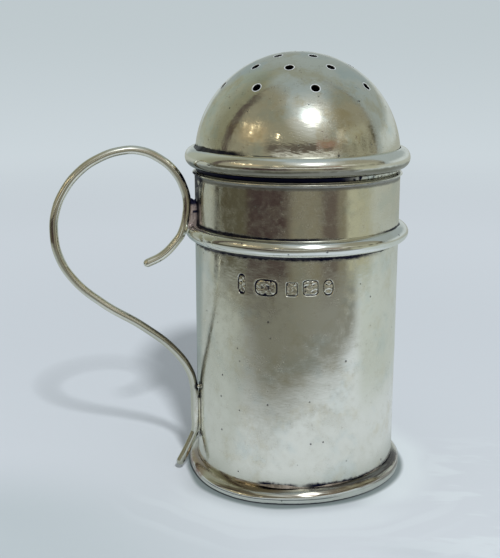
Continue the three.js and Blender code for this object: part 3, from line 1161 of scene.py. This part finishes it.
def mirrored_floor(finish, turn, far):
    """How the silver sees the paper: pale close by, with painted shade right at the foot, on the left and
    behind the handle, dimmer further out, and the room's colours beyond.
    """
    ramp, fall, window, mix = finish.ramp, finish.fall, finish.window, finish.mix
    out = 0.5 + ramp(far, *LEFT_DIMS) * 0.25
    colour = mix(window(turn, -175, -66, 22) * out, PALE, SHADED_LEFT_FLOOR)
    start = DIM_START + ramp(turn, -25, 35) * DIM_LATER + ramp(turn, 35, 70) * DIM_LAST
    ahead = ramp(turn + far * 230, -70, -8) * fall(turn, 58, 76)
    ahead = ahead * (1 - ramp(turn, -15, 40) * 0.08)
    colour = mix(ramp((far - start) / DIM_WIDTH, 0, 1) * ahead, colour, MID_FLOOR)
    side = ramp(far, *SIDE_CHANGE) * window(turn, -100, -66, 12)
    colour = mix(side * 0.55, colour, BACKDROP)
    right = ramp(turn, 58, 76) * ramp(far, *RIGHT_CHANGE)
    colour = mix(right, colour, RIGHT_FLOOR)
    shade = window(turn, -181, -134, 9) * ramp(far, *SHADE_START)
    colour = mix(shade * 0.6, colour, SHADED_FLOOR)
    colour = mix(fall(far, *CLOSE_END), colour, SHADED_CLOSE_FLOOR)
    beyond = ramp(far, *BEYOND_START) * window(turn, -108, 84, 5)
    return mix(beyond | ramp(far, *FAR_END), colour, low_room(finish, turn))


def floor_shade(finish, toward, side, far):
    """Painted shade on the paper: its left corner in front, and shallow folds."""
    ramp = finish.ramp
    corner = ramp(toward * 0.8 - side, *CORNER_SIDE) * ramp(toward, *CORNER_FRONT)
    folds = finish.noise(finish.joint(side * 1.3 + toward * 0.5, toward * 2.2, 0), 30, 2, 0.5)
    folds = ramp(folds, 0.5, 0.68) * ramp(toward, *FOLDS_FRONT) * 0.75
    return corner | folds * finish.fall(far, *FOLDS_END)


def thrown_light(finish, toward, side, turn, far):
    """Light that the silver throws back on the paper: a pale ring, strongest on the right, and wavy bands."""
    ramp, fall, window = finish.ramp, finish.fall, finish.window
    wander = finish.noise(finish.joint(toward, side, 0), 55, 1, 0.5) - 0.5
    rings = ramp((far * 1050 + wander * 9).maths("SINE"), 0.0, 0.9)
    rings = rings * window(far, *RINGS) * window(turn, -45, 40, 25)
    ring = window(far + wander * RING_WANDER, *RING) * window(turn, -35, 25, 25) * 0.35
    right = fall(far + wander * RIGHT_RING_WANDER, *RIGHT_RING) * window(turn, 36, 150, 14) * 0.7
    bands = finish.noise(finish.joint(side * 0.8 + toward, toward * 2.6 - side * 0.6, 0), 60, 3, 0.6)
    bands = ramp(bands, 0.5, 0.62) * ramp(side, *BANDS_SIDE) * ramp(toward, *BANDS_FRONT)
    return ring | rings * 0.22 | right | bands * fall(far, *BANDS_END) * 0.4


def floor():
    disc = {"vertices": 96, "radius": FLOOR_RADIUS, "fill_type": "NGON"}
    ground = fresh(bpy.ops.mesh.primitive_circle_add, "floor", **disc)
    material, finish = new_finish("pale_paper")
    x, y, _ = finish.parts(finish.add("ShaderNodeTexCoord", output="Object"))
    toward, side, turn = from_camera(x, y)
    far = length(x, y)
    seen = finish.mix(finish.ramp(far, *FAR_CHANGE), PALE, FAR_PALE)
    seen = finish.mix(floor_shade(finish, toward, side, far), seen, SHADED_PALE)
    seen = finish.mix(thrown_light(finish, toward, side, turn, far), seen, THROWN)
    # Painted contact shadow on the paper round the foot: dark right at it, softer a little further out
    near = far - FOOT_BEND * finish.window(turn, -50, -15, 25)
    contact_shadow = finish.fall(near, FOOT_RADIUS + CONTACT_SHADOW_START, FOOT_RADIUS + CONTACT_SHADOW_END)
    soft = finish.fall(near, FOOT_RADIUS, FOOT_RADIUS + SOFT_SHADOW_END) * finish.window(turn, -50, 25, 30)
    seen = finish.mix(soft * 0.28, finish.mix(contact_shadow * 0.85, seen, CONTACT_SHADOW_COLOUR), CONTACT_SHADOW_COLOUR)
    mirrored = finish.light_path("Is Glossy Ray")
    colour = finish.mix(mirrored, seen, mirrored_floor(finish, turn, far))
    paper = finish.add("ShaderNodeBsdfDiffuse", values={"Color": colour})
    clear = finish.add("ShaderNodeBsdfTransparent")
    shader = finish.add("ShaderNodeMixShader", values={0: finish.ramp(far, *FADE), 1: paper, 2: clear})
    finish.add("ShaderNodeOutputMaterial", values={"Surface": shader})
    ground.data.materials.append(material)


def lamp():
    data = bpy.data.lights.new("window", "AREA")
    data.shape = "DISK"
    data.size = LAMP_SIZE
    data.energy = LAMP_WATTS
    out = direction(LAMP_TURN, LAMP_RISE)
    place = out * LAMP_DISTANCE + Vector((0, 0, RIM_HEIGHT / 2))
    made = hung("window", data, place, out.to_track_quat("Z", "Y"))
    made.visible_camera = False
    made.visible_glossy = False


def stage():
    bpy.context.scene.view_settings.view_transform = "Standard"
    world()
    floor()
    lamp()


# Stains, soot and painted shade, in millimetres: a pair is where a mask starts to change and where it has
# changed
WEB_SHADE = (-1, 0)
WEB_SHADE_TOP = (53, 54.5)
WEB_SOOT = (50.2, 50.9)
WEB_SPOT = 49.3
WEB_SPOT_REACH = 0.35
WEB_SPOT_SIDE = (-19.4, -19.2)
HOLE_WALLS = (-0.16, -0.1)
HOLES_START = (0, 1)
SKIRT_EDGE = (0, 0.3)
MARK_WALLS = (-0.085, -0.05)
MARK_MIDDLE = 38.6
MARK_REACH = 2.8
RELIEF_LOWS = (-0.145, -0.105)
RING_UNDERSIDE = (1.1, 1.6)
FOOT_EDGE = (0.28, 0.5)
FOOT_CORNER = (-0.3, -0.1)
FOOT_STREAKS = (1.2, 1.7)
FOOT_YELLOW = (1.5, 2.1)
LEG_DULL = (26, 34)
LEG_SHADE_START = (15, 17)
LEG_SHADE_END = (27, 33)
JOINT_LINE = (7.4, 15.5, 0.5)

# Dark lines: the heights in metres, and how wide they are in millimetres
GIRDLE_LINE = GIRDLE_TOP - 0.2e-3
GIRDLE_LINE_REACH = 0.12
# A painted dark reflection along the foot wire
FOOT_REFLECTION_LINE = 1.12e-3
FOOT_REFLECTION_LINE_REACH = 0.13
# Painted shade under the rim's lip
LIP_SHADE_LINE = RIM_HEIGHT - 0.68e-3
LIP_SHADE_LINE_REACH = 0.62

# Soot round the bead and at the foot of the joint: the middle of each spot, its core and its edge
SOOT_SPOTS = [
    ([value * MM for value in BEAD_PLACE], 0.65, 1.1),
    ((-18.6, -0.6, 14.6), 0.15, 0.5),
    ((-18.7, -0.4, 7.0), 0.35, 0.85),
]


def painted_shade_behind_web(spot):
    """Painted shade, near black, on the collar beside the upper joint, in the angle that the wire shades."""
    near = spot.facing(-180, 4, 9) | spot.facing(-175, 5, 9) * spot.ramp(spot.z, *WEB_SHADE_TOP)
    low = spot.past(spot.z, GIRDLE_TOP, WEB_SHADE)
    return near * low * (1 - spot.ramp(spot.ragged, 0.05, 0.14) * 0.6)


def web_soot(spot):
    """The web is black at its top and in one spot half way."""
    middle = spot.near_height(WEB_SPOT, WEB_SPOT_REACH, 0.6) * spot.ramp(spot.x, *WEB_SPOT_SIDE)
    return spot.ramp(spot.z + spot.ragged * 1.2, *WEB_SOOT) | middle


def painted_shade_in_holes(spot):
    """Painted shade, near black, on the thickness of the dome's sheet, seen in its holes and under its edge,
    and on the dome's inside.
    """
    up = spot.z - DOME_CENTRE * MM
    from_centre = length(spot.x, spot.y, up)
    return spot.short_of(from_centre, DOME_RADIUS, HOLE_WALLS) * spot.ramp(up, *HOLES_START)


def shaded_and_oxidised_skirt(spot):
    """The skirt under the cap's wire is black, oxide with painted shade in the gap under the wire, but for
    the side that rubs clean.
    """
    rubbed = spot.facing(-35, 28, 48) * spot.ramp(spot.ragged, -0.13, -0.02)
    return spot.short_of(spot.z, CAP_RING_BOTTOM, SKIRT_EDGE) * (1 - rubbed * 0.9)


def recess(spot):
    """Where the struck marks are, what lies under the tube's outside is a mark's wall, with soot in it."""
    deep = spot.short_of(spot.out, TUBE_RADIUS, MARK_WALLS)
    level = (spot.z - MARK_MIDDLE).maths("ABSOLUTE").maths("LESS_THAN", MARK_REACH)
    return deep * spot.facing(-112, 36, 40) * level


def low_relief(spot):
    """Soot in the low parts of what the punches left standing."""
    low = spot.short_of(spot.out, TUBE_RADIUS, RELIEF_LOWS)
    return low * spot.ramp(spot.finish.noise(spot.place, 0.8, 2), 0.46, 0.58)


def painted_dark_underside(spot):
    """A painted dark reflection on the cap's wire where it turns under."""
    return spot.short_of(spot.z + spot.ragged * 0.5, CAP_RING_BOTTOM, RING_UNDERSIDE) * 0.9


def foot_soot_and_shadow(spot):
    """Dirt along the foot wire's lower edge, which is also painted contact shadow under its belly, and dirt
    round its joint with the tube where solder ran short.
    """
    low = spot.fall(spot.z + spot.ragged * 0.3, *FOOT_EDGE)
    corner = spot.past(spot.z + spot.ragged, FOOT_HEIGHT, FOOT_CORNER)
    side = spot.facing(-60, 34, 46) * 0.6 | spot.facing(-115, 7, 13)
    return low | corner * side * 0.9


def foot_streaks(spot):
    """Brown streaks along the foot wire's upper half."""
    along = spot.finish.joint(spot.x * 0.12, spot.y * 0.12, spot.z * 3.2)
    streaks = spot.ramp(spot.finish.noise(along, 1.0, 2, 0.6), 0.4, 0.55)
    return streaks * spot.ramp(spot.z, *FOOT_STREAKS) * spot.facing(-85, 55, 75) * 0.85


def foot_shade(spot):
    """The foot wire's upper side is darker and more yellow."""
    return spot.ramp(spot.z + spot.ragged * 0.6, *FOOT_YELLOW) * 0.55


def leg_tarnish(spot):
    """The handle's leg has gone dull and olive."""
    return spot.fall(spot.z + spot.ragged * 4, *LEG_DULL) * 0.85


def painted_shade_on_leg(spot):
    """Painted shade along the inner side of the leg, which faces the tube."""
    outwards = spot.finish.parts(spot.finish.add("ShaderNodeNewGeometry", output="Normal"))
    inner = spot.ramp(outwards[0] + outwards[2] * 0.3 + spot.ragged * 0.3, 0.35, 0.6)
    leg = spot.ramp(spot.z, *LEG_SHADE_START) * spot.fall(spot.z, *LEG_SHADE_END)
    return inner * leg * 0.7


def joint_soot(spot):
    return largest(spot.near_place(*place) for place in SOOT_SPOTS) * 0.85


def joint_line(spot):
    """A dark line on the tube along the near side of the lower joint."""
    return spot.facing(-175.6, 0.7, 1.4) * spot.finish.window(spot.z, *JOINT_LINE) * 0.8


def pink_stain(spot):
    """A reddish stain on the foot wire, behind the handle's end."""
    return spot.facing(-176, 10, 18) * spot.ramp(spot.ragged + spot.z * 0.1, 0.0, 0.2)


# Pieces with their finishes
def pot():
    edges = [
        # Under the girdle: oxide in the corner, with painted shadow under the wire's overhang
        line_at(GIRDLE_BOTTOM, 1.0, (-150, 75, 100)),
        line_at(GIRDLE_BOTTOM, 0.4),
        line_at(GIRDLE_TOP, 0.75, (-165, 25, 42)),
        line_at(GIRDLE_TOP, 0.4, (-150, 50, 70), (-20, 25, 40)),
        line_at(FOOT_HEIGHT, 0.9, (-115, 7, 13), (-60, 34, 46)),
        # Painted shade on the collar beside the upper joint
        painted_shade_behind_web,
        recess,
        joint_soot,
        joint_line,
        # Painted shade under the rim's lip
        line_at(LIP_SHADE_LINE, LIP_SHADE_LINE_REACH, rag=0.7, strength=0.6),
    ]
    sheet = silver("tube_silver", tarnish=0.62, patchy=0.13, oxides_and_shades=edges)
    finished(tube(), sheet, "pot", "silver_sheet", "body_tube", angle=32)
    finished(mark_rims(), silver("mark_silver", 0.1, 0.6), "pot", "silver_sheet")
    finished(mark_relief(), silver("relief_silver", 0.12, 0.6, oxides_and_shades=[low_relief]), "pot", "silver_sheet")
    upper_edge = line_at(GIRDLE_LINE, GIRDLE_LINE_REACH, (-150, 50, 70), rag=0.6, strength=0.7)
    wire = silver("wire_silver", 0.05, 0.25, 2.0, lines=(0.12, 4), clean=PALE_SILVER, oxides_and_shades=[upper_edge])
    finished(girdle_wire(), wire, "pot", "silver_wire", "girdle_ring")
    # A painted dark reflection in a line along the foot wire, a third of the way up
    painted_reflection_line = line_at(FOOT_REFLECTION_LINE, FOOT_REFLECTION_LINE_REACH, (-120, 30, 42), rag=0.5, strength=0.75)
    worn = silver(
        "foot_silver", 0.06, 0.4, 3.0, lines=(0.1, 4), clean=PALE_SILVER, oxides_and_shades=[foot_soot_and_shadow, painted_reflection_line],
        stains_and_reflections=[(pink_stain, STAINED), (foot_shade, SHADED), (foot_streaks, DRIED)],
    )
    finished(foot_wire(), worn, "pot", "silver_wire", "foot_ring")
    finished(base_disc(), silver("base_silver", 0.2, 0.8), "pot", "silver_sheet", "base_plate")
    # The handle: its leg tarnished, with painted shade on the side towards the tube
    bent = silver(
        "handle_silver", 0.08, 0.6, 0.5, stains_and_reflections=[(leg_tarnish, TARNISHED)], oxides_and_shades=[painted_shade_on_leg, joint_soot],
    )
    finished(handle_wire(), bent, "pot", "silver_wire", "handle_scroll")
    pinked = solder("web_solder", rgb(0.4, 0.33, 0.32), rgb(0.62, 0.52, 0.5), oxides_and_shades=[web_soot])
    finished(solder_web(), pinked, "pot", "solder", "upper_handle_solder")
    dull = silver("fillet_silver", 0.2, 1.0, oxides_and_shades=[joint_soot])
    finished(solder_fillets(), dull, "pot", "solder", "lower_handle_solder")
    finished(solder_bead(), silver("bead_silver", 0.08, 0.4), "pot", "solder")
    black = seam_black("seam_oxide")
    brown = solder("foot_seam_solder", rgb(0.2, 0.17, 0.14), rgb(0.38, 0.33, 0.28), 0.5)
    seams = [
        (black, "girdle_seam_top", GIRDLE_TOP - SEAM_SINK, 1, 1.5, 0.2, [(-150, 40, 0.7), (-30, 18, 0.5)]),
        # Under the girdle the black seam is oxide with painted shadow under the wire's overhang
        (black, "girdle_seam_below", GIRDLE_BOTTOM + SEAM_SINK, -1, 6.5, 0.8, [(-140, 60, 0.6)]),
        (brown, "foot_seam", FOOT_HEIGHT - FOOT_SEAM_SINK, 1, 3.5, 0.15, [(-60, 30, 1.0), (-115, 9, 1.0)]),
    ]
    for material, name, *shape in seams:
        finished(seam(name, TUBE_RADIUS - SEAT_FILM, *shape), material, "pot", "solder")


def cap():
    # Near black on the cap: oxide along the top of its wire, painted shade on the hole walls and the dome's
    # inside, and oxide with painted shade on the skirt under the wire
    edges = [line_at(CAP_RING_TOP, 0.75, (-180, 36, 50)), painted_shade_in_holes, shaded_and_oxidised_skirt]
    sheet = silver("dome_silver", 0.07, 1.15, 2.0, 0.1, clean=rgb(0.86, 0.86, 0.77), scuffed=8, oxides_and_shades=edges)
    finished(dome(), sheet, "cap", "silver_dome", "cap_dome", angle=32)
    # The burrs round the holes are pale and only partly metal: a painted glint round each hole
    painted_glint_rims = solder("burr_painted_glint", rgb(0.8, 0.84, 0.88), rgb(0.62, 0.66, 0.7), 0.1, 0.35)
    finished(hole_burrs(), painted_glint_rims, "cap", "silver_dome")
    wire = silver(
        "cap_wire_silver", 0.08, 0.2, 1.6, lines=(0.12, 4), clean=rgb(0.97, 0.98, 0.92),
        # A painted dark reflection under the wire
        stains_and_reflections=[(painted_dark_underside, UNDERSIDE_REFLECTION)],
    )
    finished(cap_wire(), wire, "cap", "silver_wire", "cap_ring")
    finished(sleeve(), silver("sleeve_silver", 0.3, 1.0), "cap", "silver_inside", "cap_sleeve")
    wall = DOME_RADIUS - SEAT_FILM
    line = seam("cap_seam", wall, CAP_RING_TOP - SEAM_SINK, 1, 8.5, 0.05, [(-165, 30, 1.5)])
    finished(line, seam_black("cap_seam_oxide"), "cap", "solder")


camera()
stage()
pot()
cap()
